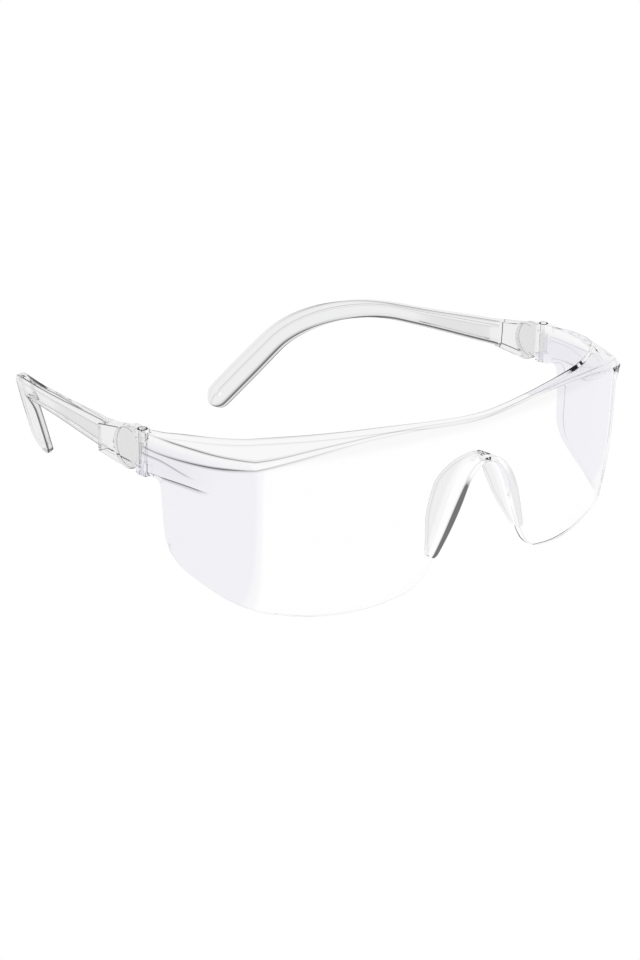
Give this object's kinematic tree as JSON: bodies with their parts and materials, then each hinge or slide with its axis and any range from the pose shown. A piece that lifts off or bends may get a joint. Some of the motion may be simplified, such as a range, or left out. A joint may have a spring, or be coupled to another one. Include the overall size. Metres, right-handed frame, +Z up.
{
  "type": "safety glasses",
  "caption": "Clear over-spectacle safety glasses: one moulded front with side shields, brow shelf and nose pads, and folding temples whose angle can be set.",
  "frame": {"origin": "middle of the overall width and depth, on the surface that the glasses stand on: the lens's lowest edge and the temple tips", "axes": "+X towards the wearer's left, +Y from the lens back towards the wearer, +Z up"},
  "size_m": [0.167, 0.1723, 0.053],
  "materials": {
    "clear_front": "polished clear polycarbonate with a faint lavender tint in the side shields",
    "clear_block": "polished clear polycarbonate",
    "clear_pin": "polished clear plastic",
    "clear_temple": "polished clear polycarbonate"
  },
  "bodies": {
    "front": {"lens_front": "clear_front", "hinge_pin_left": "clear_pin", "hinge_pin_right": "clear_pin"},
    "hinge_left": {"hinge_block_left": "clear_block"},
    "hinge_right": {"hinge_block_right": "clear_block"},
    "arm_left": {"temple_left": "clear_temple"},
    "arm_right": {"temple_right": "clear_temple"}
  },
  "joints": [
    {"name": "fold_left", "type": "hinge", "parent": "front", "child": "hinge_left", "pos_m": [0.081, -0.0327, 0.0433], "axis": [0, 0, 1], "range_deg": [0, 86]},
    {"name": "fold_right", "type": "hinge", "parent": "front", "child": "hinge_right", "pos_m": [-0.081, -0.0327, 0.0433], "axis": [0, 0, -1], "range_deg": [0, 70]},
    {"name": "tilt_left", "type": "hinge", "parent": "hinge_left", "child": "arm_left", "pos_m": [0.08, -0.0275, 0.043], "axis": [1, 0, 0], "range_deg": [-8, 8]},
    {"name": "tilt_right", "type": "hinge", "parent": "hinge_right", "child": "arm_right", "pos_m": [-0.08, -0.0275, 0.043], "axis": [1, 0, 0], "range_deg": [-8, 8]}
  ]
}
